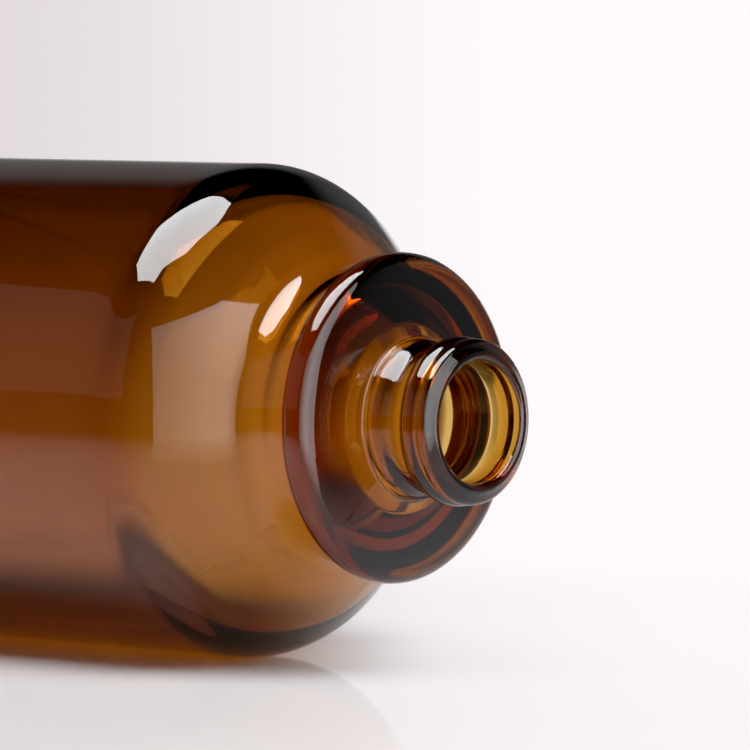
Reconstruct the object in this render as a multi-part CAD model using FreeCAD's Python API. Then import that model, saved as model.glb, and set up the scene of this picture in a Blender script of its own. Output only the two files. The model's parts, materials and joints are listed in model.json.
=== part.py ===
import FreeCAD, Part
import math
import os

from FreeCAD import Placement, Rotation, Vector

# Driving sizes of the blown body, in millimetres, with angles in degrees
bottle_height = 125.0         # bearing ring to lip, so the length of the bottle as it lies
body_diameter = 59.5
wall = 2.6                    # glass in the body
heel_radius = 6.0             # rounding between the bearing ring and the body
bearing_width = 3.75          # flat ring that the bottle stands on
push_up = 2.5                 # rise of the base above the bearing ring, at the middle
base_thickness = 3.5          # glass at the middle of the base
floor_corner_radius = 6.0     # rounding inside, between the floor and the body

# Driving sizes of the shoulder and the throat below the collar
shoulder_radius = 7.0         # rounding where the body turns into the shoulder
shoulder_angle = 40.0         # lean of the surface where that rounding ends
throat_angle = 58.0           # lean of the surface where the shoulder turns into the throat
throat_cove_radius = 4.0
throat_height = 4.4           # straight throat under the collar
crown_wall = 1.5              # glass in the crown of the shoulder and in the throat
inner_shoulder_radius = 8.5   # rounding inside, where the body turns into the shoulder

# Driving sizes of the collar
collar_diameter = 39.2
collar_thickness = 4.0
collar_overhang = 2.3         # step from the throat out to the rim
collar_cove_radius = 0.25     # rounding in the corner under the collar
collar_slope = 6.0            # fall of the front face towards the rim

# Driving sizes of the neck and its finish
bore_diameter = 14.4
waist_wall = 1.2              # glass at the narrowest place of the neck
waist_length = 1.4            # straight stretch between the swell and the bead
neck_swell = 1.1              # how far the foot of the neck stands out from the waist
neck_swell_radius = 2.4
neck_cove_radius = 2.0        # hollow between the swell and the waist
neck_foot_radius = 0.5        # rounding in the corner between the collar and the neck
bead_projection = 1.6         # how far the bead stands out from the waist
bead_radius = 1.4
bead_flank_angle = 60.0       # lean of the underside of the bead
bead_foot_radius = 0.4        # rounding in the corner under the bead
crease_angle = 55.0           # lean of the bead where the crease above it starts
ring_step = 0.2               # how far the upper ring stays back from the bead
ring_radius = 1.0
ring_start_angle = -30.0      # lean of the upper ring where it leaves the crease
ring_end_angle = 65.0
ring_pitch = 1.9              # bead to upper ring, along the axis
lip_radius = 0.75
lip_start_angle = 30.0        # lean of the lip where it leaves the upper ring
lip_pitch = 0.7               # upper ring to lip, along the axis

# Driving sizes inside, from the bore outwards over the funnel and the hood to the throat
funnel_rise = 0.6             # start of the funnel above the foot of the neck
funnel_mouth_radius = 2.2     # rounding between the bore and the funnel
hood_reach = 11.9             # widest place of the rounding between the funnel and the hood
hood_depth = 3.6              # centre of that rounding below the front of the collar
hood_radius = 1.5
throat_corner_radius = 3.0    # rounding between the hood and the throat
throat_land = 1.2             # straight stretch inside the throat, under the hood

# Radii that follow from the driving sizes
body_radius = body_diameter / 2
inside_radius = body_radius - wall
collar_radius = collar_diameter / 2
throat_radius = collar_radius - collar_overhang
throat_inside_radius = throat_radius - crown_wall
bore_radius = bore_diameter / 2
waist_radius = bore_radius + waist_wall
neck_radius = waist_radius + neck_swell
bead_crest_radius = waist_radius + bead_projection
ring_crest_radius = bead_crest_radius - ring_step
rim_round = min(collar_thickness / 2, collar_overhang - collar_cove_radius)
bearing_inner_radius = body_radius - heel_radius - bearing_width
floor_height = push_up + base_thickness

shortest_edge = 1e-6
quarter_turn = 90.0
half_turn = 180.0


def turned(angle):
    """Unit vector in the outline's plane, at an angle from the radius towards the mouth."""
    return Vector(math.cos(math.radians(angle)), 0, math.sin(math.radians(angle)))


def point(radius, height):
    return Vector(radius, 0, height)


def height_on_line(radius, gap, line_point, normal_angle):
    """Height, at a radius, of the point that lies at a gap from a line, on its normal's side."""
    normal = turned(normal_angle)
    return line_point.z + (gap - (radius - line_point.x) * normal.x) / normal.z


def lean(start, end):
    """Angle, from the radius towards the mouth, of the way from one point to another."""
    return math.degrees(math.atan2(end.z - start.z, end.x - start.x))


class Outline:
    """A half section of the glass: x is the radius from the axis and z the height."""

    def __init__(self, start):
        self.edges = []
        self.place = start

    def line(self, end):
        if end.distanceToPoint(self.place) > shortest_edge:
            self.edges.append(Part.LineSegment(self.place, end).toShape())
            self.place = end

    def arc(self, centre, radius, start_angle, end_angle):
        """Go straight to the start of an arc, then along it."""
        middle_angle = (start_angle + end_angle) / 2
        start, middle, end = [centre + turned(angle) * radius
                              for angle in (start_angle, middle_angle, end_angle)]
        self.line(start)
        self.edges.append(Part.Arc(self.place, middle, end).toShape())
        self.place = end

    def revolved(self):
        """Close the section and turn it round the axis."""
        self.line(self.edges[0].firstVertex().Point)
        section = Part.Face(Part.Wire(self.edges))
        return section.revolve(Vector(0, 0, 0), Vector(0, 0, 1), 360).Solids[0]


# Centres of the lip, the upper ring and the bead, downwards from the lip
lip_centre = point(bore_radius + lip_radius, bottle_height - lip_radius)
ring_centre = point(ring_crest_radius - ring_radius, lip_centre.z - lip_pitch)
bead_centre = point(bead_crest_radius - bead_radius, ring_centre.z - ring_pitch)
crease_height = (bead_centre + turned(crease_angle) * bead_radius).z

# Corner under the bead, then the waist, its hollow and the swell of the neck
flank_start = bead_centre + turned(-bead_flank_angle) * bead_radius
bead_foot_x = waist_radius + bead_foot_radius
bead_foot_centre = point(
    bead_foot_x, height_on_line(bead_foot_x, bead_foot_radius, flank_start, -bead_flank_angle))
neck_cove_centre = point(waist_radius + neck_cove_radius, bead_foot_centre.z - waist_length)
swell_reach = neck_swell_radius + neck_cove_radius
swell_drop = math.sqrt(swell_reach ** 2 - (swell_reach - neck_swell) ** 2)
swell_centre = point(neck_radius - neck_swell_radius, neck_cove_centre.z - swell_drop)
swell_angle = math.degrees(math.atan2(swell_drop, swell_reach - neck_swell))

# Collar, downwards from the corner between its sloping face and the neck
face_angle = quarter_turn - collar_slope
neck_foot_centre = point(neck_radius + neck_foot_radius, swell_centre.z)
face_point = neck_foot_centre - turned(face_angle) * neck_foot_radius
rim_x = collar_radius - rim_round
rim_front_centre = point(rim_x, height_on_line(rim_x, -rim_round, face_point, face_angle))
rim_back_centre = rim_front_centre - Vector(0, 0, collar_thickness - 2 * rim_round)
collar_back = rim_back_centre.z - rim_round
collar_front = face_point.z
collar_cove_centre = point(throat_radius + collar_cove_radius, collar_back - collar_cove_radius)

# Throat cove, the crown of the shoulder and its rounding into the body
throat_cove_centre = point(throat_radius + throat_cove_radius, collar_back - throat_height)
throat_start = throat_cove_centre - turned(throat_angle) * throat_cove_radius
shoulder_cosine = math.cos(math.radians(shoulder_angle))
throat_cosine = math.cos(math.radians(throat_angle))
crown_drop = (body_radius - throat_radius
              - shoulder_radius * (1 - shoulder_cosine)
              - throat_cove_radius * (1 - throat_cosine))
crown_radius = crown_drop / (shoulder_cosine - throat_cosine)
crown_centre = throat_start - turned(throat_angle) * crown_radius
shoulder_centre = crown_centre + turned(shoulder_angle) * (crown_radius - shoulder_radius)
shoulder_base = shoulder_centre.z

# Inside of the shoulder: one rounding from the wall of the body to the crown
inner_crown_radius = crown_radius - crown_wall
inner_shoulder_x = inside_radius - inner_shoulder_radius
inner_shoulder_span = inner_crown_radius - inner_shoulder_radius
inner_shoulder_angle = math.degrees(math.acos((inner_shoulder_x - crown_centre.x) / inner_shoulder_span))
inner_shoulder_centre = crown_centre + turned(inner_shoulder_angle) * inner_shoulder_span

# Heel and floor
heel_centre = point(body_radius - heel_radius, heel_radius)
floor_corner_centre = point(inside_radius - floor_corner_radius, floor_height + floor_corner_radius)
heel_top = max(heel_centre.z, floor_corner_centre.z)
push_up_radius = (bearing_inner_radius ** 2 + push_up ** 2) / (2 * push_up)
push_up_angle = math.degrees(math.asin(bearing_inner_radius / push_up_radius))

# Funnel: one straight line that touches the rounding at the bore and the one at the hood
funnel_mouth_centre = point(bore_radius + funnel_mouth_radius, collar_front + funnel_rise)
hood_centre = point(hood_reach - hood_radius, collar_front - hood_depth)
funnel_span = funnel_mouth_centre.distanceToPoint(hood_centre)
funnel_turn = math.degrees(math.acos((funnel_mouth_radius + hood_radius) / funnel_span))
funnel_angle = lean(hood_centre, funnel_mouth_centre) - funnel_turn

# Hood: one straight line from that rounding to the one at the throat
throat_corner_centre = point(
    throat_inside_radius - throat_corner_radius, throat_cove_centre.z + throat_land)
hood_span = hood_centre.distanceToPoint(throat_corner_centre)
hood_turn = math.degrees(math.acos((throat_corner_radius - hood_radius) / hood_span))
hood_angle = lean(throat_corner_centre, hood_centre) - hood_turn


def draw_outside(outline):
    """The outer surface, from the middle of the base up to the lip."""
    outline.arc(point(0, push_up - push_up_radius), push_up_radius,
                quarter_turn, quarter_turn - push_up_angle)
    outline.arc(heel_centre, heel_radius, -quarter_turn, 0)
    outline.arc(shoulder_centre, shoulder_radius, 0, shoulder_angle)
    outline.arc(crown_centre, crown_radius, shoulder_angle, throat_angle)
    outline.arc(throat_cove_centre, throat_cove_radius, half_turn + throat_angle, half_turn)
    outline.arc(collar_cove_centre, collar_cove_radius, half_turn, quarter_turn)
    outline.arc(rim_back_centre, rim_round, -quarter_turn, 0)
    outline.arc(rim_front_centre, rim_round, 0, face_angle)
    outline.arc(neck_foot_centre, neck_foot_radius, half_turn + face_angle, half_turn)
    outline.arc(swell_centre, neck_swell_radius, 0, swell_angle)
    outline.arc(neck_cove_centre, neck_cove_radius, half_turn + swell_angle, half_turn)
    outline.arc(bead_foot_centre, bead_foot_radius, half_turn, half_turn - bead_flank_angle)
    outline.arc(bead_centre, bead_radius, -bead_flank_angle, crease_angle)
    outline.arc(ring_centre, ring_radius, ring_start_angle, ring_end_angle)
    outline.arc(lip_centre, lip_radius, lip_start_angle, half_turn)


def draw_inside(outline):
    """The inner surface, from the lip down the bore to the middle of the floor."""
    outline.arc(funnel_mouth_centre, funnel_mouth_radius, half_turn, half_turn + funnel_angle)
    outline.arc(hood_centre, hood_radius, funnel_angle, hood_angle)
    outline.arc(throat_corner_centre, throat_corner_radius, hood_angle, 0)
    outline.arc(throat_cove_centre, throat_cove_radius + crown_wall, half_turn, half_turn + throat_angle)
    outline.arc(crown_centre, inner_crown_radius, throat_angle, inner_shoulder_angle)
    outline.arc(inner_shoulder_centre, inner_shoulder_radius, inner_shoulder_angle, 0)
    outline.arc(floor_corner_centre, floor_corner_radius, 0, -quarter_turn)
    outline.line(point(0, floor_height))


def make_glass():
    outline = Outline(point(0, push_up))
    draw_outside(outline)
    draw_inside(outline)
    return outline.revolved()


def slab(bottom, top, radius=body_diameter):
    """A round block on the axis, used to take one zone out of the glass."""
    return Part.makeCylinder(radius, top - bottom, Vector(0, 0, bottom))


def make_zones(glass):
    """The glass cut across where its form changes: each zone meets the next face to face."""
    foot = glass.common(slab(0, heel_top))
    base_block = slab(0, heel_top, bearing_inner_radius)
    zones = {"base": foot.common(base_block), "heel": foot.cut(base_block)}
    levels = [
        ("body", heel_top, shoulder_base),
        ("shoulder", shoulder_base, throat_start.z),
        ("throat", throat_start.z, collar_back),
        ("collar", collar_back, collar_front),
        ("neck", collar_front, bead_foot_centre.z),
        ("bead", bead_foot_centre.z, crease_height),
        ("lip", crease_height, bottle_height),
    ]
    for name, bottom, top in levels:
        zones[name] = glass.common(slab(bottom, top))
    return zones


def laid_down():
    """Turn the upright bottle onto its side: mouth to +X, lowest line on z = 0, middle at x = 0."""
    upright_to_side = Rotation(Vector(0, 1, 0), quarter_turn)
    return Placement(Vector(-bottle_height / 2, 0, body_radius), upright_to_side)


def main():
    os.makedirs("parts", exist_ok=True)
    glass = make_glass()
    for name, zone in make_zones(glass).items():
        solid = zone.Solids[0]
        solid.Placement = laid_down()
        solid.exportStep(os.path.join("parts", name + ".step"))
        print(f"{name}: {len(zone.Solids)} solid, {solid.Volume:.1f} cubic mm")
    print(f"whole glass: {glass.Volume:.1f} cubic mm")


main()
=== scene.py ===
import json
import math

import bpy
from mathutils import Matrix, Vector


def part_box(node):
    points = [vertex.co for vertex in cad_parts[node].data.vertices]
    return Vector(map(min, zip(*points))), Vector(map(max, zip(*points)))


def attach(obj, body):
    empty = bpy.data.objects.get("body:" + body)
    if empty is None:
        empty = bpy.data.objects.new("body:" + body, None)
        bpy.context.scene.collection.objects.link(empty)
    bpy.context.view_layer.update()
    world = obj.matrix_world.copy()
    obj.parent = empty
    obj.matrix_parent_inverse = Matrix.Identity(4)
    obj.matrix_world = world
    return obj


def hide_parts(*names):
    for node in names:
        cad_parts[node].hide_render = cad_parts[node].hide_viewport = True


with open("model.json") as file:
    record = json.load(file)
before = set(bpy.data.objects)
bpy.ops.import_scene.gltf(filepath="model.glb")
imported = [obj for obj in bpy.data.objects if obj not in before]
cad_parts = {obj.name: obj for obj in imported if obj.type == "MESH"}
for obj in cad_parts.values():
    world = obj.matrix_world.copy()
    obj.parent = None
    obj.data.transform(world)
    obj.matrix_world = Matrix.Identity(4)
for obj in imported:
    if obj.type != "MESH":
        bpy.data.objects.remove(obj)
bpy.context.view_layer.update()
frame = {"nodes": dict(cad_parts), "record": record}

bl_info = {
    "name": "Amber Glass Bottle",
    "version": (1, 0, 0),
    "blender": (4, 5, 0),
    "location": "View3D > Sidebar > Bottle",
    "description": "Makes an amber glass bottle that lies on a pale studio floor",
    "category": "Add Mesh",
}

millimetre = 0.001
quarter_turn = math.pi / 2
half_turn = math.pi
full_turn = 2 * math.pi
plain_white = (1.0, 1.0, 1.0)
plain_black = (0.0, 0.0, 0.0)

# Places, zones and the bore that the solids give
bearing_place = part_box("heel")[0].x
lip_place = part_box("lip")[1].x
axis_height = (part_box("body")[0].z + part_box("body")[1].z) / 2
glass_zones = sorted(frame["nodes"])
mouth_bore = next(mount for mount in frame["record"]["mounts"] if mount["name"] == "mouth_bore")


def across(node):
    """Diameter of a zone of the glass, in metres."""
    low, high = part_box(node)
    return high.z - low.z


def length(name, description, default):
    """A size in metres that the sidebar shows as a length."""
    return bpy.props.FloatProperty(
        name=name, description=description, default=default, precision=5, subtype="DISTANCE", unit="LENGTH")


def millimetres(name, description, default):
    """A size that is given in millimetres."""
    return length(name, description, default * millimetre)


def degrees(name, description, default):
    """An angle that is given in degrees."""
    return bpy.props.FloatProperty(
        name=name, description=description, default=math.radians(default), subtype="ANGLE", unit="ROTATION")


def number(name, description, default):
    """A share, a level or another number without a unit."""
    return bpy.props.FloatProperty(name=name, description=description, default=default, precision=4)


def count(name, description, default):
    """A whole number."""
    return bpy.props.IntProperty(name=name, description=description, default=default, min=0)


def colour(name, description, default):
    """A colour of a surface or of light."""
    return bpy.props.FloatVectorProperty(
        name=name, description=description, default=default, size=3, min=0, max=1, subtype="COLOR")


class BottleGlassSizes(bpy.types.PropertyGroup):
    """Sizes of the glass, from the bearing ring to the lip."""

    bottle_length: length("Length", "Bearing ring to lip", lip_place - bearing_place)
    body_diameter: length("Body diameter", "Outside of the round wall", across("body"))
    wall: millimetres("Wall", "Glass in the body", 2.6)
    heel_radius: millimetres("Heel radius", "Rounding between the bearing ring and the body", 6.0)
    bearing_width: millimetres("Bearing width", "Flat ring that the bottle stands on", 3.75)
    push_up: millimetres("Push-up", "Rise of the base at the middle", 2.5)
    base_thickness: millimetres("Base thickness", "Glass at the middle of the base", 3.5)
    floor_corner_radius: millimetres("Floor corner", "Rounding inside, between floor and body", 6.0)
    shoulder_radius: millimetres("Shoulder radius", "Rounding where the body turns inwards", 7.0)
    shoulder_angle: degrees("Shoulder angle", "Lean where that rounding ends", 40.0)
    throat_angle: degrees("Throat angle", "Lean where the shoulder turns into the throat", 58.0)
    throat_cove_radius: millimetres("Throat cove", "Hollow between the shoulder and the throat", 4.0)
    throat_height: millimetres("Throat height", "Straight throat under the collar", 4.4)
    crown_wall: millimetres("Crown wall", "Glass in the crown of the shoulder and in the throat", 1.5)
    inner_shoulder_radius: millimetres("Inner shoulder", "Rounding inside, where the body turns inwards", 8.5)
    collar_diameter: length("Collar diameter", "Outside of the collar's rim", across("collar"))
    collar_thickness: millimetres("Collar thickness", "Glass at the collar's rim", 4.0)
    collar_overhang: millimetres("Collar overhang", "Step from the throat out to the rim", 2.3)
    collar_cove_radius: millimetres("Collar cove", "Rounding in the corner under the collar", 0.25)
    collar_slope: degrees("Collar slope", "Fall of the front face towards the rim", 6.0)
    bore_diameter: millimetres("Bore", "Clear width of the mouth", 2 * mouth_bore["dims"]["r_mm"])
    waist_wall: millimetres("Waist wall", "Glass at the narrowest place of the neck", 1.2)
    waist_length: millimetres("Waist length", "Straight stretch between the swell and the bead", 1.4)
    neck_swell: millimetres("Neck swell", "How far the foot of the neck stands out", 1.1)
    neck_swell_radius: millimetres("Swell radius", "Rounding of the neck's foot", 2.4)
    neck_cove_radius: millimetres("Neck cove", "Hollow between the swell and the waist", 2.0)
    neck_foot_radius: millimetres("Neck foot", "Rounding in the corner on the collar", 0.5)
    bead_diameter: length("Bead diameter", "Outside of the lower ring of the finish", across("bead"))
    bead_radius: millimetres("Bead radius", "Rounding of the lower ring", 1.4)
    bead_flank_angle: degrees("Bead flank", "Lean of the underside of the bead", 60.0)
    bead_foot_radius: millimetres("Bead foot", "Rounding in the corner under the bead", 0.4)
    crease_angle: degrees("Crease angle", "Lean of the bead where the crease starts", 55.0)
    ring_diameter: length("Ring diameter", "Outside of the upper ring", across("lip"))
    ring_radius: millimetres("Ring radius", "Rounding of the upper ring", 1.0)
    ring_start_angle: degrees("Ring start", "Lean of the upper ring above the crease", -30.0)
    ring_end_angle: degrees("Ring end", "Lean of the upper ring below the lip", 65.0)
    ring_pitch: millimetres("Ring pitch", "Bead to upper ring, along the axis", 1.9)
    lip_radius: millimetres("Lip radius", "Rounding of the mouth's edge", 0.75)
    lip_start_angle: degrees("Lip start", "Lean of the lip above the upper ring", 30.0)
    lip_pitch: millimetres("Lip pitch", "Upper ring to lip, along the axis", 0.7)
    funnel_rise: millimetres("Funnel rise", "Start of the funnel above the neck's foot", 0.6)
    funnel_mouth_radius: millimetres("Funnel mouth", "Rounding between bore and funnel", 2.2)
    hood_reach: millimetres("Hood reach", "Widest place of the rounding round the funnel", 11.9)
    hood_depth: millimetres("Hood depth", "Centre of that rounding below the collar's face", 3.6)
    hood_radius: millimetres("Hood radius", "Rounding between the funnel and the hood", 1.5)
    throat_corner_radius: millimetres("Throat corner", "Rounding between the hood and the throat", 3.0)
    throat_land: millimetres("Throat land", "Straight stretch inside the throat, under the hood", 1.2)


class BottleGlassFinish(bpy.types.PropertyGroup):
    """Marks of the mould, unevenness of the blown glass, and its colour."""

    columns: count("Columns", "Faces round the bottle", 236)
    column_crowding: number("Column crowding", "How closely the faces stand at the mould seams", 0.85)
    seam_angle: degrees("Seam angle", "Turn of the mould's halves, from the near side", -45.0)
    seam_height: millimetres("Seam height", "Rise of the mould seams", 0.02)
    seam_width: millimetres("Seam width", "Half width of the mould seams", 0.11)
    shoulder_seam: number("Shoulder seam", "Share of that rise that the blow has left on the shoulder", 0.3)
    ring_seam_angle: degrees("Ring seam", "Lean of the rim where the collar's mould parts", -25.0)
    ring_seam_height: millimetres("Ring seam height", "Rise of the seam round the rim", 0.06)
    ring_seam_width: millimetres("Ring seam width", "Half width of the seam round the rim", 0.12)
    outer_wave: millimetres("Outer wave", "Unevenness of the outside", 0.03)
    inner_wave: millimetres("Inner wave", "Unevenness of the inside", 0.15)
    inner_sag: millimetres("Inner sag", "How far the inside lies nearer the floor than the outside", 0.3)
    wave_size: millimetres("Wave size", "Length of one wave of that unevenness", 26.0)
    bubbles: number("Bubbles", "Small bubbles for each square metre of the wall", 2200.0)
    bubble_least: millimetres("Smallest bubble", "Radius of the smallest bubbles", 0.05)
    bubble_most: millimetres("Largest bubble", "Radius of the largest bubbles", 0.16)
    seed: count("Seed", "Picks where the bubbles and waves lie", 7)
    glass_colour: colour("Glass colour", "What the glass lets through", (0.84, 0.653, 0.06))
    glass_depth: number("Glass depth", "How fast colour builds up, for each metre of glass", 1350.0)
    refraction: number("Refraction", "Index of refraction of bottle glass", 1.52)
    polish: number("Polish", "Roughness of the clean glass", 0.004)
    haze: number("Haze", "Roughness that handling has added", 0.035)


class BottleStudio(bpy.types.PropertyGroup):
    """The camera, the lamps and the floor."""

    view_turn: degrees("View turn", "Camera's turn from the bottle's axis", 49.04)
    view_rise: degrees("View rise", "Camera's height above the horizon", 3.17)
    view_distance: millimetres("View distance", "Camera to the front of the collar", 753.68)
    view_shift_right: millimetres("Aim to the right", "Collar's front from the middle of the view", 4.19)
    view_shift_down: millimetres("Aim down", "Collar's front below the middle of the view", 5.144)
    lens: number("Lens", "Focal length in millimetres, on a 36 mm sensor", 307.2)
    floor_colour: colour("Floor colour", "White floor", (0.86, 0.84, 0.855))
    # Painted light: how far the floor on the mouth's side is swapped for a glow in the backdrop's colour,
    # which paints over the bottle's shadow there.
    floor_painted_fill: number("Floor glow", "How far the lit sweep hides the shadow on the mouth's side", 0.88)
    floor_gloss: number("Floor gloss", "Share of the light that the floor mirrors at a low view", 0.5)
    backdrop_left: colour("Backdrop left", "Pale backdrop on the dimmer side", (0.74, 0.68, 0.69))
    backdrop_right: colour("Backdrop right", "Pale backdrop on the brighter side", (1.0, 0.955, 0.97))
    dim_room: number("Dim room", "Light level of the studio on the camera's side", 0.01)
    dark_room: number("Dark room", "Light level of the studio above and beside the backdrop", 0.18)
    sky_left: number("Sky left", "Brightness of the backdrop above the horizon, behind the body", 0.5)
    sweep_left: number("Sweep left", "Brightness of the floor's sweep behind the body", 1.05)
    round_lamp: number("Round lamp", "Brightness of the eight-sided lamp overhead", 11.5)
    round_lamp_share: number("Round lamp share", "Part of that lamp's light that reaches the floor", 0.5)
    side_lamp: number("Side lamp", "Brightness of the long lamp on the mouth's side", 4.2)
    side_lamp_share: number("Side lamp share", "Part of the side lamp's light that reaches the floor", 0.2)
    side_card: number("Side card", "Brightness of the grey card on the base's side", 0.2)


def turned(angle):
    """Unit vector in the section's plane, at an angle from the radius towards the mouth."""
    return Vector((math.cos(angle), math.sin(angle)))


def place_on_line(radius, gap, line_point, normal_angle):
    """Place along the axis, at a radius, of the point at a gap from a line, on its normal's side."""
    normal = turned(normal_angle)
    return line_point.y + (gap - (radius - line_point.x) * normal.x) / normal.y


def lean(start, end):
    """Angle, from the radius towards the mouth, of the way from one point to another."""
    return math.atan2(end.y - start.y, end.x - start.x)


class Section:
    """Points of the half section in order, each a radius and a place along the axis."""

    straight_step = 2.4 * millimetre
    curve_step = 0.9 * millimetre
    turn_step = math.radians(7.5)
    fewest_in_arc = 3
    least_turn_share = 3
    least_curve_share = 6
    shortest = 1e-7

    def __init__(self, start):
        self.points = [start]
        self.marks = {}

    def mark(self, name):
        """Remember where the next point comes in the order."""
        self.marks[name] = len(self.points)

    def add(self, point):
        """Add a point, unless it lies on the one before."""
        if (point - self.points[-1]).length > self.shortest:
            self.points.append(point)

    def line(self, end):
        """A straight run from the last point."""
        start = self.points[-1]
        pieces = max(1, math.ceil((end - start).length / self.straight_step))
        for piece in range(1, pieces + 1):
            self.add(start.lerp(end, piece / pieces))

    def arc(self, centre, radius, start, end, swell=None, extra=()):
        """A straight run to the arc's start, then the arc, with more points and a swell where asked."""
        self.line(centre + turned(start) * radius)
        by_turn = abs(end - start) / self.turn_step
        by_length = abs(end - start) * radius / self.curve_step
        least = max(by_turn / self.least_turn_share, by_length / self.least_curve_share)
        pieces = max(self.fewest_in_arc, math.ceil(max(min(by_turn, by_length), least)))
        angles = [start + (end - start) * piece / pieces for piece in range(1, pieces + 1)]
        low, high = min(start, end), max(start, end)
        angles = sorted(set(angles) | {angle for angle in extra if low < angle < high}, reverse=start > end)
        for angle in angles:
            lift = swell(angle) if swell else 0.0
            self.add(centre + turned(angle) * (radius + lift))


def glass_section(sizes, finish):
    """The glass's outline: outside from the middle of the base to the lip, then inside to the floor."""
    s = sizes
    body_radius = s.body_diameter / 2
    collar_radius = s.collar_diameter / 2
    throat_radius = collar_radius - s.collar_overhang
    bore_radius = s.bore_diameter / 2
    waist_radius = bore_radius + s.waist_wall
    neck_radius = waist_radius + s.neck_swell
    rim_round = min(s.collar_thickness / 2, s.collar_overhang - s.collar_cove_radius)
    bearing_inner_radius = body_radius - s.heel_radius - s.bearing_width

    # Finish, downwards from the lip
    lip_centre = Vector((bore_radius + s.lip_radius, s.bottle_length - s.lip_radius))
    ring_centre = Vector((s.ring_diameter / 2 - s.ring_radius, lip_centre.y - s.lip_pitch))
    bead_centre = Vector((s.bead_diameter / 2 - s.bead_radius, ring_centre.y - s.ring_pitch))
    flank_start = bead_centre + turned(-s.bead_flank_angle) * s.bead_radius
    bead_foot_radius = waist_radius + s.bead_foot_radius
    bead_foot_centre = Vector((bead_foot_radius, place_on_line(
        bead_foot_radius, s.bead_foot_radius, flank_start, -s.bead_flank_angle)))

    # Neck, downwards from the bead to the collar's face
    neck_cove_centre = Vector((waist_radius + s.neck_cove_radius, bead_foot_centre.y - s.waist_length))
    swell_reach = s.neck_swell_radius + s.neck_cove_radius
    swell_drop = math.sqrt(swell_reach ** 2 - (swell_reach - s.neck_swell) ** 2)
    swell_centre = Vector((neck_radius - s.neck_swell_radius, neck_cove_centre.y - swell_drop))
    swell_angle = math.atan2(swell_drop, swell_reach - s.neck_swell)

    # Collar
    face_angle = quarter_turn - s.collar_slope
    neck_foot_centre = Vector((neck_radius + s.neck_foot_radius, swell_centre.y))
    face_point = neck_foot_centre - turned(face_angle) * s.neck_foot_radius
    rim_x = collar_radius - rim_round
    rim_front_centre = Vector((rim_x, place_on_line(rim_x, -rim_round, face_point, face_angle)))
    rim_back_centre = rim_front_centre - Vector((0, s.collar_thickness - 2 * rim_round))
    collar_back = rim_back_centre.y - rim_round
    collar_cove_centre = Vector((throat_radius + s.collar_cove_radius, collar_back - s.collar_cove_radius))

    # Throat, crown of the shoulder and its rounding into the body
    throat_cove_centre = Vector((throat_radius + s.throat_cove_radius, collar_back - s.throat_height))
    throat_start = throat_cove_centre - turned(s.throat_angle) * s.throat_cove_radius
    shoulder_cosine, throat_cosine = math.cos(s.shoulder_angle), math.cos(s.throat_angle)
    crown_drop = (body_radius - throat_radius - s.shoulder_radius * (1 - shoulder_cosine)
                  - s.throat_cove_radius * (1 - throat_cosine))
    crown_radius = crown_drop / (shoulder_cosine - throat_cosine)
    crown_centre = throat_start - turned(s.throat_angle) * crown_radius
    shoulder_centre = crown_centre + turned(s.shoulder_angle) * (crown_radius - s.shoulder_radius)

    # Inside of the shoulder: one rounding from the body's wall to the crown
    inner_crown_radius = crown_radius - s.crown_wall
    inner_shoulder_x = body_radius - s.wall - s.inner_shoulder_radius
    inner_shoulder_angle = math.acos(
        (inner_shoulder_x - crown_centre.x) / (inner_crown_radius - s.inner_shoulder_radius))
    inner_shoulder_centre = crown_centre + turned(inner_shoulder_angle) * (
        inner_crown_radius - s.inner_shoulder_radius)

    # Heel, floor and funnel
    heel_centre = Vector((body_radius - s.heel_radius, s.heel_radius))
    floor_place = s.push_up + s.base_thickness
    floor_corner_centre = Vector((
        body_radius - s.wall - s.floor_corner_radius, floor_place + s.floor_corner_radius))
    push_up_radius = (bearing_inner_radius ** 2 + s.push_up ** 2) / (2 * s.push_up)
    push_up_angle = math.asin(bearing_inner_radius / push_up_radius)
    funnel_mouth_centre = Vector((bore_radius + s.funnel_mouth_radius, face_point.y + s.funnel_rise))
    hood_centre = Vector((s.hood_reach - s.hood_radius, face_point.y - s.hood_depth))
    funnel_span = (funnel_mouth_centre - hood_centre).length
    funnel_turn = math.acos((s.funnel_mouth_radius + s.hood_radius) / funnel_span)
    funnel_angle = lean(hood_centre, funnel_mouth_centre) - funnel_turn
    throat_corner_centre = Vector((
        throat_radius - s.crown_wall - s.throat_corner_radius, throat_cove_centre.y + s.throat_land))
    hood_span = (hood_centre - throat_corner_centre).length
    hood_turn = math.acos((s.throat_corner_radius - s.hood_radius) / hood_span)
    hood_angle = lean(throat_corner_centre, hood_centre) - hood_turn

    def ring_seam(angle):
        """Rise of the seam round the rim, at an angle of the rim's rounding."""
        offset = (angle - finish.ring_seam_angle) * rim_round / finish.ring_seam_width
        return finish.ring_seam_height * math.exp(-offset ** 2)

    ring_seam_reach = 5
    ring_seam_step = finish.ring_seam_width / rim_round / 2
    ring_seam_angles = [finish.ring_seam_angle + ring_seam_step * step
                        for step in range(-ring_seam_reach, ring_seam_reach + 1)]

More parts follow.
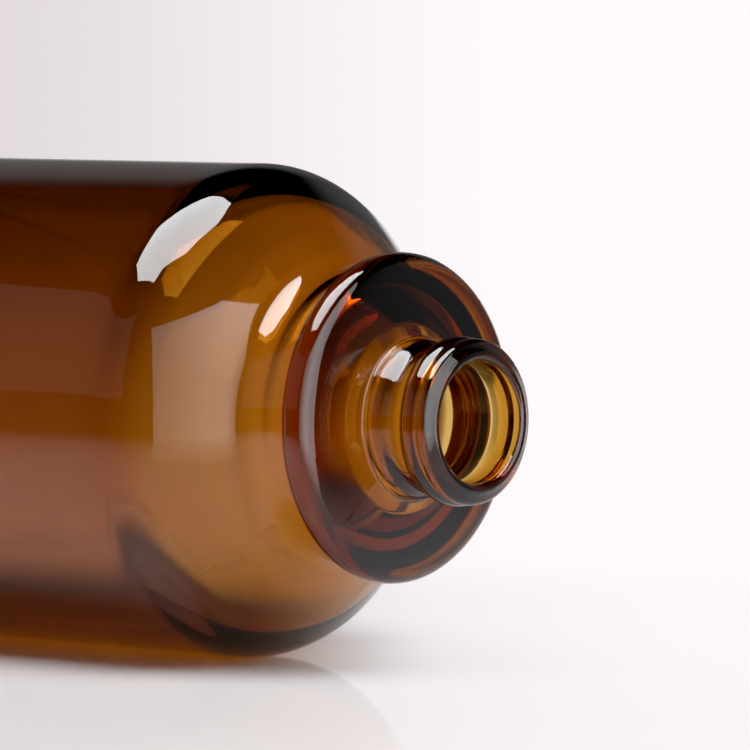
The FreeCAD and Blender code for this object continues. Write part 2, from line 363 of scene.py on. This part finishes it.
    section = Section(Vector((0, s.push_up)))
    section.arc(Vector((0, s.push_up - push_up_radius)), push_up_radius,
                quarter_turn, quarter_turn - push_up_angle)
    section.arc(heel_centre, s.heel_radius, -quarter_turn, 0)
    section.mark("body")
    section.line(Vector((body_radius, shoulder_centre.y)))
    section.mark("shoulder")
    section.arc(shoulder_centre, s.shoulder_radius, 0, s.shoulder_angle)
    section.arc(crown_centre, crown_radius, s.shoulder_angle, s.throat_angle)
    section.mark("throat")
    section.arc(throat_cove_centre, s.throat_cove_radius, half_turn + s.throat_angle, half_turn)
    section.mark("collar")
    section.arc(collar_cove_centre, s.collar_cove_radius, half_turn, quarter_turn)
    section.arc(rim_back_centre, rim_round, -quarter_turn, 0, ring_seam, ring_seam_angles)
    section.arc(rim_front_centre, rim_round, 0, face_angle)
    section.arc(neck_foot_centre, s.neck_foot_radius, half_turn + face_angle, half_turn)
    section.arc(swell_centre, s.neck_swell_radius, 0, swell_angle)
    section.arc(neck_cove_centre, s.neck_cove_radius, half_turn + swell_angle, half_turn)
    section.arc(bead_foot_centre, s.bead_foot_radius, half_turn, half_turn - s.bead_flank_angle)
    section.arc(bead_centre, s.bead_radius, -s.bead_flank_angle, s.crease_angle)
    section.arc(ring_centre, s.ring_radius, s.ring_start_angle, s.ring_end_angle)
    section.mark("lip")
    section.arc(lip_centre, s.lip_radius, s.lip_start_angle, half_turn)
    section.arc(funnel_mouth_centre, s.funnel_mouth_radius, half_turn, half_turn + funnel_angle)
    section.arc(hood_centre, s.hood_radius, funnel_angle, hood_angle)
    section.arc(throat_corner_centre, s.throat_corner_radius, hood_angle, 0)
    section.mark("inside")
    section.arc(throat_cove_centre, s.throat_cove_radius + s.crown_wall,
                half_turn, half_turn + s.throat_angle)
    section.arc(crown_centre, inner_crown_radius, s.throat_angle, inner_shoulder_angle)
    section.arc(inner_shoulder_centre, s.inner_shoulder_radius, inner_shoulder_angle, 0)
    section.arc(floor_corner_centre, s.floor_corner_radius, 0, -quarter_turn)
    section.line(Vector((0, floor_place)))
    return section


class Value:
    """A node's output that takes part in sums: each operation adds its Math node."""

    def __init__(self, nodes, socket):
        self.nodes = nodes
        self.socket = socket

    def out(self, name):
        """Another output of the same node."""
        return Value(self.nodes, self.socket.node.outputs[name])

    def maths(self, operation, *values):
        """The result of a Math node."""
        return self.nodes.add("ShaderNodeMath", {"operation": operation}, dict(enumerate(values)))

    def __add__(self, other):
        return self.maths("ADD", self, other)

    def __radd__(self, other):
        return self.maths("ADD", other, self)

    def __sub__(self, other):
        return self.maths("SUBTRACT", self, other)

    def __rsub__(self, other):
        return self.maths("SUBTRACT", other, self)

    def __mul__(self, other):
        return self.maths("MULTIPLY", self, other)

    def __rmul__(self, other):
        return self.maths("MULTIPLY", other, self)

    def __truediv__(self, other):
        return self.maths("DIVIDE", self, other)

    def __rtruediv__(self, other):
        return self.maths("DIVIDE", other, self)

    def __neg__(self):
        return self.maths("MULTIPLY", self, -1.0)

    def __gt__(self, other):
        return self.maths("GREATER_THAN", self, other)

    def floor(self):
        return self.maths("FLOOR", self)

    def sine(self):
        return self.maths("SINE", self)

    def cosine(self):
        return self.maths("COSINE", self)

    def power_of_e(self):
        return self.maths("EXPONENT", self)

    def square_root(self):
        return self.maths("SQRT", self)

    def larger(self, other):
        return self.maths("MAXIMUM", self, other)

    def smooth(self, low, high):
        """0 below low and 1 above high, with a smooth change between."""
        return self.nodes.add("ShaderNodeMapRange", {"interpolation_type": "SMOOTHSTEP"},
                              {"Value": self, "From Min": low, "From Max": high})


def opaque(plain_colour):
    """A colour with full alpha, as a node's socket takes it."""
    return (*plain_colour, 1.0)


class Nodes:
    """A node tree that is filled from Python."""

    def __init__(self, tree):
        self.tree = tree
        tree.nodes.clear()

    def feed(self, socket, value):
        """Link a value to a socket, or set the socket to something plain."""
        if isinstance(value, Value):
            self.tree.links.new(value.socket, socket)
        else:
            socket.default_value = value

    def add(self, kind, settings=None, inputs=None):
        """Add a node: first its settings, then the values or links of its sockets."""
        node = self.tree.nodes.new(kind)
        for name, setting in (settings or {}).items():
            setattr(node, name, setting)
        for name, value in (inputs or {}).items():
            self.feed(node.inputs[name], value)
        return Value(self, node.outputs[0]) if node.outputs else None

    def mix(self, factor, first, second):
        """A colour between two colours."""
        node = self.add("ShaderNodeMix", {"data_type": "RGBA"}).socket.node
        sockets = {socket.identifier: socket for socket in node.inputs}
        self.feed(sockets["Factor_Float"], factor)
        for identifier, value in (("A_Color", first), ("B_Color", second)):
            self.feed(sockets[identifier], value if isinstance(value, Value) else opaque(value))
        return Value(self, next(socket for socket in node.outputs if socket.identifier == "Result_Color"))

    def vector(self, x, y, z):
        """A vector from three numbers."""
        return self.add("ShaderNodeCombineXYZ", None, {"X": x, "Y": y, "Z": z})


class GlassTree(Nodes):
    """Geometry nodes that turn the half section round the axis and finish the glass."""

    sockets = {
        "Columns": "NodeSocketInt",
        "Column Crowding": "NodeSocketFloat",
        "Axis Height": "NodeSocketFloat",
        "Seam Angle": "NodeSocketFloat",
        "Seam Height": "NodeSocketFloat",
        "Seam Width": "NodeSocketFloat",
        "Inner Sag": "NodeSocketFloat",
        "Wave Size": "NodeSocketFloat",
        "Wall": "NodeSocketFloat",
        "Bubbles": "NodeSocketFloat",
        "Bubble Least": "NodeSocketFloat",
        "Bubble Most": "NodeSocketFloat",
        "Seed": "NodeSocketInt",
        "Material": "NodeSocketMaterial",
    }
    merge_distance = 1e-7
    rounding_guard = 0.5 / 4096
    wave_detail = 1.0
    wave_roughness = 0.4
    noise_middle = 0.5
    bubble_mark = 0.5
    bubble_depths = (0.3, 0.7)
    bubble_stretch = (1.0, 2.4)
    bubble_flatness = 0.8
    bubble_detail = 2

    def __init__(self, name):
        super().__init__(bpy.data.node_groups.new(name, "GeometryNodeTree"))
        face = self.tree.interface
        face.new_socket("Geometry", in_out="INPUT", socket_type="NodeSocketGeometry")
        face.new_socket("Geometry", in_out="OUTPUT", socket_type="NodeSocketGeometry")
        self.identifiers = {
            socket: face.new_socket(socket, in_out="INPUT", socket_type=kind).identifier
            for socket, kind in self.sockets.items()}
        self.section = self.add("NodeGroupInput")
        glass = self.uneven(self.revolved())
        parts = self.add("GeometryNodeJoinGeometry")
        for part in (self.bubbles(glass), glass):
            self.tree.links.new(part.socket, parts.socket.node.inputs[0])
        whole = self.add("GeometryNodeRealizeInstances", None, {"Geometry": parts})
        for attribute in ("lift", "wave", "sag", "bubble"):
            whole = self.add("GeometryNodeRemoveAttribute", None, {"Geometry": whole, "Name": attribute})
        smooth = self.add("GeometryNodeSetShadeSmooth", None, {"Geometry": whole})
        finished = self.add("GeometryNodeSetMaterial", None,
                            {"Geometry": smooth, "Material": self.section.out("Material")})
        self.add("NodeGroupOutput", None, {"Geometry": finished})

    def named(self, name):
        """A number that the points carry."""
        return self.add("GeometryNodeInputNamedAttribute", {"data_type": "FLOAT"}, {"Name": name})

    def along_section(self, value, kind, row):
        """What the section has at a row of the turned mesh."""
        return self.add("GeometryNodeSampleIndex", {"data_type": kind, "domain": "POINT"},
                        {"Geometry": self.section, "Value": value, "Index": row})

    def stored(self, geometry, name, value):
        """The geometry with a number on its points."""
        return self.add("GeometryNodeStoreNamedAttribute", {"data_type": "FLOAT", "domain": "POINT"},
                        {"Geometry": geometry, "Name": name, "Value": value})

    def revolved(self):
        """Rows follow the section and columns go round, closer together at the two mould seams."""
        given = self.section
        rows = self.add("GeometryNodeAttributeDomainSize", {"component": "MESH"}, {"Geometry": given})
        columns = given.out("Columns")
        grid = self.add("GeometryNodeMeshGrid", None, {"Vertices X": rows, "Vertices Y": columns + 1})
        index = self.add("GeometryNodeInputIndex")
        row = (index / (columns + 1) + self.rounding_guard).floor()
        column = index - row * (columns + 1)
        place = self.along_section(self.add("GeometryNodeInputPosition"), "FLOAT_VECTOR", row)
        apart = self.add("ShaderNodeSeparateXYZ", None, {"Vector": place})
        radius, along = apart.out("X"), apart.out("Z")
        turn = column / columns * full_turn
        seam_turn = given.out("Seam Angle")
        angle = turn - given.out("Column Crowding") / 2 * ((turn - seam_turn) * 2).sine()
        round_axis = self.vector(along, -(radius * angle.cosine()),
                                 given.out("Axis Height") + radius * angle.sine())
        seam_offset = radius * (angle - seam_turn).sine() / given.out("Seam Width")
        ridge = self.along_section(self.named("ridge"), "FLOAT", row)
        lift = ridge * given.out("Seam Height") * (-(seam_offset * seam_offset)).power_of_e()
        mesh = self.stored(grid, "lift", lift)
        for name in ("wave", "sag", "bubble"):
            mesh = self.stored(mesh, name, self.along_section(self.named(name), "FLOAT", row))
        mesh = self.add("GeometryNodeSetPosition", None, {"Geometry": mesh, "Position": round_axis})
        return self.add("GeometryNodeMergeByDistance", None,
                        {"Geometry": mesh, "Distance": self.merge_distance})

    def uneven(self, mesh):
        """Raise the seams and let the surfaces wave as blown glass does."""
        given = self.section
        noise = self.add("ShaderNodeTexNoise", {"noise_dimensions": "4D"}, {
            "Vector": self.add("GeometryNodeInputPosition"), "W": given.out("Seed"),
            "Scale": 1 / given.out("Wave Size"),
            "Detail": self.wave_detail, "Roughness": self.wave_roughness})
        rise = self.named("lift") + self.named("wave") * (noise - self.noise_middle)
        normal = self.add("GeometryNodeInputNormal")
        offset = self.add("ShaderNodeVectorMath", {"operation": "SCALE"}, {"Vector": normal, "Scale": rise})
        moved = self.add("GeometryNodeSetPosition", None, {"Geometry": mesh, "Offset": offset})
        drop = self.vector(0.0, 0.0, -(self.named("sag") * given.out("Inner Sag")))
        return self.add("GeometryNodeSetPosition", None, {"Geometry": moved, "Offset": drop})

    def drawn(self, low, high, seed):
        """A random number for each bubble."""
        limits = {2: low, 3: high, "Seed": seed}
        return self.add("FunctionNodeRandomValue", {"data_type": "FLOAT"}, limits).out(1)

    def bubbles(self, mesh):
        """Small bubbles inside the wall, drawn out along the surface, with faces towards their air."""
        given = self.section
        points = self.add("GeometryNodeDistributePointsOnFaces", None, {
            "Mesh": mesh, "Selection": self.named("bubble") > self.bubble_mark,
            "Density": given.out("Bubbles"), "Seed": given.out("Seed")})
        depth = self.drawn(*self.bubble_depths, seed=1)
        sunk = self.add("ShaderNodeVectorMath", {"operation": "SCALE"}, {
            "Vector": points.out("Normal"), "Scale": -(depth * given.out("Wall"))})
        sunk_points = self.add("GeometryNodeSetPosition", None, {"Geometry": points, "Offset": sunk})
        ball = self.add("GeometryNodeMeshIcoSphere", None,
                        {"Radius": 1.0, "Subdivisions": self.bubble_detail})
        hollow = self.add("GeometryNodeFlipFaces", None, {"Mesh": ball})
        draw = self.drawn(0.0, 1.0, seed=2)
        stretch = self.drawn(*self.bubble_stretch, seed=3)
        least, most = given.out("Bubble Least"), given.out("Bubble Most")
        size = least + (most - least) * draw * draw * draw
        scale = self.vector(size, size * stretch, size * self.bubble_flatness)
        return self.add("GeometryNodeInstanceOnPoints", None, {
            "Points": sunk_points, "Instance": hollow, "Rotation": points.out("Rotation"), "Scale": scale})


def section_mesh(section, finish):
    """The half section as a mesh of points, with what each point carries for the finish."""
    mesh = bpy.data.meshes.new("glass_section")
    mesh.from_pydata([(radius, 0, place + bearing_place) for radius, place in section.points], [], [])
    marks = section.marks
    order = range(len(section.points))
    ridge = [finish.shoulder_seam if marks["shoulder"] <= index < marks["throat"]
             else 1.0 if marks["throat"] <= index < marks["lip"] else 0.0 for index in order]
    bubble = [1.0 if marks["body"] <= index < marks["collar"] else 0.0 for index in order]
    wave = [finish.outer_wave if marks["body"] <= index < marks["collar"]
            else finish.inner_wave if index >= marks["inside"] else 0.0 for index in order]
    sag = [1.0 if index >= marks["inside"] else 0.0 for index in order]
    for name, values in (("ridge", ridge), ("bubble", bubble), ("wave", wave), ("sag", sag)):
        mesh.attributes.new(name, "FLOAT", "POINT").data.foreach_set("value", values)
    return mesh


def amber_glass(finish):
    """Clear amber bottle glass, whose colour builds up with its depth, a little dulled by handling."""
    smudge_scale, smudge_edges = 70.0, (0.55, 0.8)
    dust_scale, dust_share = 2600.0, 0.6
    ripple_scale, ripple_strength, ripple_height = 420.0, 0.03, 0.1 * millimetre
    material = bpy.data.materials.new("amber_glass")
    material.use_nodes = True
    nodes = Nodes(material.node_tree)
    place = nodes.add("ShaderNodeTexCoord").out("Object")
    smudges = nodes.add("ShaderNodeTexNoise", None, {"Vector": place, "Scale": smudge_scale, "Detail": 3.0})
    dust = nodes.add("ShaderNodeTexNoise", None, {"Vector": place, "Scale": dust_scale, "Detail": 2.0})
    dulled = smudges.smooth(*smudge_edges) * (1 - dust_share + dust_share * dust)
    roughness = finish.polish + finish.haze * dulled
    ripple = nodes.add("ShaderNodeTexNoise", None, {"Vector": place, "Scale": ripple_scale, "Detail": 1.0})
    bump = nodes.add("ShaderNodeBump", None, {
        "Strength": ripple_strength, "Distance": ripple_height, "Height": ripple})
    surface = nodes.add("ShaderNodeBsdfPrincipled", None, {
        "Base Color": opaque(plain_white), "Roughness": roughness, "IOR": finish.refraction,
        "Transmission Weight": 1.0, "Normal": bump})
    volume = nodes.add("ShaderNodeVolumeAbsorption", None, {
        "Color": opaque(finish.glass_colour), "Density": finish.glass_depth})
    nodes.add("ShaderNodeOutputMaterial", None, {"Surface": surface, "Volume": volume})
    return material


class BOTTLE_OT_make_glass(bpy.types.Operator):
    """Make the bottle's glass from its half section"""

    bl_idname = "bottle.make_glass"
    bl_label = "Make Glass"

    def execute(self, context):
        sizes = context.scene.bottle_glass_sizes
        finish = context.scene.bottle_glass_finish
        section = glass_section(sizes, finish)
        bottle = bpy.data.objects.new("bottle_glass", section_mesh(section, finish))
        context.scene.collection.objects.link(bottle)
        tree = GlassTree("turned_glass")
        turning = bottle.modifiers.new("turned_glass", "NODES")
        turning.node_group = tree.tree
        settings = {
            "Columns": finish.columns, "Column Crowding": finish.column_crowding,
            "Axis Height": axis_height, "Seam Angle": finish.seam_angle,
            "Seam Height": finish.seam_height, "Seam Width": finish.seam_width,
            "Inner Sag": finish.inner_sag, "Wave Size": finish.wave_size,
            "Wall": sizes.wall, "Bubbles": finish.bubbles,
            "Bubble Least": finish.bubble_least, "Bubble Most": finish.bubble_most,
            "Seed": finish.seed, "Material": amber_glass(finish)}
        for name, value in settings.items():
            turning[tree.identifiers[name]] = value
        context.view_layer.update()
        evaluated = bottle.evaluated_get(context.evaluated_depsgraph_get())
        finished = bpy.data.meshes.new_from_object(evaluated)
        bottle.modifiers.remove(turning)
        bottle.data = finished
        finished.name = "bottle_glass"
        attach(bottle, "root")
        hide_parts(*glass_zones)
        return {"FINISHED"}


def add_stage_mesh(name, points, faces, material):
    """A mesh that belongs to the studio and not to the bottle."""
    mesh = bpy.data.meshes.new(name)
    mesh.from_pydata(points, [], faces)
    mesh.materials.append(material)
    piece = bpy.data.objects.new(name, mesh)
    bpy.context.scene.collection.objects.link(piece)
    return piece


def lamp_material(name, level, graded):
    """A surface that gives light; a graded one is dimmer at its start and, less so, at its end."""
    start_level, start_reach = 0.35, (0.0, 0.55)
    end_loss, end_reach = 0.3, (0.6, 1.0)
    material = bpy.data.materials.new(name)
    material.use_nodes = True
    nodes = Nodes(material.node_tree)
    tone = opaque(plain_white)
    if graded:
        along = nodes.add("ShaderNodeAttribute", {"attribute_name": "along"}).out("Fac")
        rising = start_level + (1 - start_level) * along.smooth(*start_reach)
        tone = nodes.mix(rising * (1 - end_loss * along.smooth(*end_reach)), plain_black, plain_white)
    light = nodes.add("ShaderNodeEmission", None, {"Color": tone, "Strength": level})
    nodes.add("ShaderNodeOutputMaterial", None, {"Surface": light})
    return material


def add_lamp(name, points, faces, level, share, along=None):
    """A lamp as the glass mirrors it, and a dimmer copy in the same place that lights the floor."""
    for kind, strength in (("mirrored", level), ("lighting", level * share)):
        lamp_name = f"{name}_{kind}"
        lamp = add_stage_mesh(lamp_name, points, faces, lamp_material(lamp_name, strength, along))
        if along:
            lamp.data.attributes.new("along", "FLOAT", "POINT").data.foreach_set("value", along)
        lamp.visible_camera = False
        lamp.visible_shadow = False
        lamp.visible_diffuse = kind == "lighting"
        lamp.visible_glossy = kind == "mirrored"
        lamp.visible_transmission = kind == "mirrored"


def add_round_lamp(studio):
    """Eight-sided soft lamp that hangs level above the shoulder; its corners are shares of its height."""
    shoulder_top = Vector((0.031, -0.018, 0.05))
    height = 0.9
    corners = ((-0.07, 0.28), (0.25, 0.385), (0.39, 0.19), (0.53, -0.17),
               (0.57, -0.57), (-0.02, -0.68), (-0.39, -0.48), (-0.47, -0.08))
    points = [shoulder_top + Vector((x, y, 1)) * height for x, y in corners]
    add_lamp("round_lamp", points, [list(range(len(points)))], studio.round_lamp, studio.round_lamp_share)


def add_upright_lamp(name, level, share, distance, turns, bottom, tops, graded):
    """A lamp or card that stands round the bottle, between two turns in degrees from the near side."""
    steps = 24
    points, faces, along = [], [], []
    for step in range(steps + 1):
        part = step / steps
        along += [part, part]
        angle = math.radians(turns[0] + (turns[1] - turns[0]) * part)
        top = tops[0] + (tops[1] - tops[0]) * part
        x, y = distance * math.sin(angle), -distance * math.cos(angle)
        points += [(x, y, bottom), (x, y, top)]
    for step in range(steps):
        low = 2 * step
        faces.append([low, low + 2, low + 3, low + 1])
    add_lamp(name, points, faces, level, share, along if graded else None)


def floor_material(studio, back):
    """White floor with a soft mirror sheen, which fades into the backdrop; on the mouth's side it has painted
    light, a glow in the backdrop's colour that covers the bottle's shadow.
    """
    fade_round, fade_behind, painted_fill_edge = (0.08, 0.24), (0.05, 0.14), (0.018, 0.045)
    sheen_roughness, sheen_refraction = 0.03, 1.4
    material = bpy.data.materials.new("white_floor")
    material.use_nodes = True
    nodes = Nodes(material.node_tree)
    place = nodes.add("ShaderNodeTexCoord").out("Object")
    apart = nodes.add("ShaderNodeSeparateXYZ", None, {"Vector": place})
    away = -(apart * back.x + apart.out("Y") * back.y)
    distance = nodes.add("ShaderNodeVectorMath", {"operation": "LENGTH"}, {"Vector": place}).out("Value")
    fade = distance.smooth(*fade_round).larger(away.smooth(*fade_behind))
    white = nodes.add("ShaderNodeBsdfDiffuse", None, {"Color": opaque(studio.floor_colour)})
    sideways = apart.out("Y") * back.x - apart * back.y
    path = nodes.add("ShaderNodeLightPath")
    mirrored = path.out("Is Glossy Ray").larger(path.out("Is Transmission Ray"))
    seen = path.out("Is Camera Ray").larger(mirrored)
    painted_fill = nodes.add("ShaderNodeEmission", None, {"Color": opaque(studio.backdrop_right), "Strength": 1.0})
    # Painted light: on the mouth's side the floor glows in the backdrop's colour for camera, glossy and
    # transmission rays, and so paints over the bottle's shadow; lit mixes the real diffuse floor with that
    # glow.
    painted_fill_share = studio.floor_painted_fill * seen * sideways.smooth(*painted_fill_edge)
    lit = nodes.add("ShaderNodeMixShader", None, {0: painted_fill_share, 1: white, 2: painted_fill})
    mirror = nodes.add("ShaderNodeBsdfGlossy", None, {
        "Color": opaque(plain_white), "Roughness": sheen_roughness})
    sheen = nodes.add("ShaderNodeFresnel", None, {"IOR": sheen_refraction}) * studio.floor_gloss
    floor = nodes.add("ShaderNodeMixShader", None, {0: sheen, 1: lit, 2: mirror})
    clear = nodes.add("ShaderNodeBsdfTransparent")
    faded = nodes.add("ShaderNodeMixShader", None, {0: fade, 1: floor, 2: clear})
    nodes.add("ShaderNodeOutputMaterial", None, {"Surface": faded})
    return material


def add_floor(studio, back):
    """Round floor, a little wider than the place where it has faded out."""
    sides = 64
    floor_radius = 0.31
    angles = [full_turn * side / sides for side in range(sides)]
    points = [(floor_radius * math.cos(angle), floor_radius * math.sin(angle), 0) for angle in angles]
    add_stage_mesh("white_floor", points, [list(range(sides))], floor_material(studio, back))


def add_backdrop(studio, back):
    """A pale sweep behind and below the bottle, and a dark room elsewhere, as the glass sees them."""
    room_turn, room_top = (-0.2, 0.2), (0.5, 0.75)
    horizon, sky_end, sweep_turn = (-0.12, 0.08), (0.08, 0.18), (-0.06, 0.06)
    window_left, window_right = (0.0, 0.3), (0.45, 0.7)
    backdrop_turn = (-0.079, 0.031)
    least_ground = 0.0001
    world = bpy.data.worlds.new("studio")
    bpy.context.scene.world = world
    world.use_nodes = True
    nodes = Nodes(world.node_tree)
    place = nodes.add("ShaderNodeTexCoord").out("Generated")
    apart = nodes.add("ShaderNodeSeparateXYZ", None, {"Vector": place})
    x, y, z = apart, apart.out("Y"), apart.out("Z")
    ground = (x * x + y * y).square_root().larger(least_ground)
    level_back = Vector((back.x, back.y)).normalized()
    behind = -(x * level_back.x + y * level_back.y) / ground
    sideways = (-(x * level_back.y) + y * level_back.x) / ground
    rise = z / ground
    sweep_left = [part * studio.sweep_left for part in studio.backdrop_left]
    sky_left = [part * studio.sky_left for part in studio.backdrop_left]
    walls = nodes.mix(behind.smooth(*room_turn), [studio.dim_room] * 3, [studio.dark_room] * 3)
    room = nodes.mix(rise.smooth(*room_top), walls, plain_black)
    low_sky = nodes.mix(sideways.smooth(*sweep_turn), sky_left, studio.backdrop_right)
    sky = nodes.mix(rise.smooth(*sky_end), low_sky, room)
    sweep = nodes.mix(sideways.smooth(*sweep_turn), sweep_left, studio.backdrop_right)
    view = nodes.mix(rise.smooth(*horizon), sweep, sky)
    window = behind.smooth(*window_left) * (1 - sideways.smooth(*window_right))
    surroundings = nodes.mix(window, room, view)
    backdrop = nodes.mix(sideways.smooth(*backdrop_turn), studio.backdrop_left, studio.backdrop_right)
    path = nodes.add("ShaderNodeLightPath")
    seen = nodes.mix(path.out("Is Camera Ray"), surroundings, backdrop)
    light = nodes.add("ShaderNodeBackground", None, {"Color": seen, "Strength": 1.0})
    nodes.add("ShaderNodeOutputWorld", None, {"Surface": light})


def add_camera(studio):
    """Camera that sees the collar's front at its place in the picture; returns its backward direction."""
    aim_inset = 0.815 * millimetre
    nearest_seen = 10 * millimetre
    turn, rise = studio.view_turn, studio.view_rise
    back = Vector((math.cos(turn) * math.cos(rise), -math.sin(turn) * math.cos(rise), math.sin(rise)))
    right = Vector((math.sin(turn), math.cos(turn), 0))
    up = back.cross(right)
    collar_front = Vector((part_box("collar")[1].x - aim_inset, 0, axis_height))
    aim = collar_front - right * studio.view_shift_right + up * studio.view_shift_down
    lens = bpy.data.cameras.new("camera")
    lens.lens = studio.lens
    lens.clip_start = nearest_seen
    camera = bpy.data.objects.new("camera", lens)
    turned_axes = Matrix((right, up, back)).transposed()
    camera.matrix_world = Matrix.Translation(aim + back * studio.view_distance) @ turned_axes.to_4x4()
    bpy.context.scene.collection.objects.link(camera)
    bpy.context.scene.camera = camera
    return back


class BOTTLE_OT_make_stage(bpy.types.Operator):
    """Set up the floor, the lamps, the backdrop and the camera"""

    bl_idname = "bottle.make_stage"
    bl_label = "Make Stage"

    def execute(self, context):
        scene = context.scene
        studio = scene.bottle_studio
        scene.view_settings.view_transform = "Standard"
        scene.cycles.max_bounces = 24
        scene.cycles.glossy_bounces = 12
        scene.cycles.transmission_bounces = 24
        back = add_camera(studio)
        add_backdrop(studio, back)
        add_floor(studio, back)
        add_round_lamp(studio)
        share = studio.side_lamp_share
        add_upright_lamp("side_lamp", studio.side_lamp, share, distance=0.55, turns=(47, 115),
                         bottom=-0.15, tops=(0.36, 0.62), graded=True)
        add_upright_lamp("side_card", studio.side_card, share, distance=0.62, turns=(-90, 29),
                         bottom=0.095, tops=(0.53, 0.53), graded=False)
        return {"FINISHED"}


class BOTTLE_PT_sidebar(bpy.types.Panel):
    """Sizes and operators of the bottle"""

    bl_idname = "BOTTLE_PT_sidebar"
    bl_label = "Amber Bottle"
    bl_space_type = "VIEW_3D"
    bl_region_type = "UI"
    bl_category = "Bottle"

    def draw(self, context):
        for operator in (BOTTLE_OT_make_glass, BOTTLE_OT_make_stage):
            self.layout.operator(operator.bl_idname)
        for group in settings_groups:
            settings = getattr(context.scene, group)
            for name in settings.__annotations__:
                self.layout.prop(settings, name)


settings_groups = {
    "bottle_glass_sizes": BottleGlassSizes,
    "bottle_glass_finish": BottleGlassFinish,
    "bottle_studio": BottleStudio,
}
classes = (*settings_groups.values(), BOTTLE_OT_make_glass, BOTTLE_OT_make_stage, BOTTLE_PT_sidebar)


def register():
    for cls in classes:
        bpy.utils.register_class(cls)
    for name, group in settings_groups.items():
        setattr(bpy.types.Scene, name, bpy.props.PointerProperty(type=group))


def unregister():
    for name in settings_groups:
        delattr(bpy.types.Scene, name)
    for cls in reversed(classes):
        bpy.utils.unregister_class(cls)


def main():
    register()
    bpy.ops.bottle.make_glass()
    bpy.ops.bottle.make_stage()


if __name__ == "__main__":
    main()
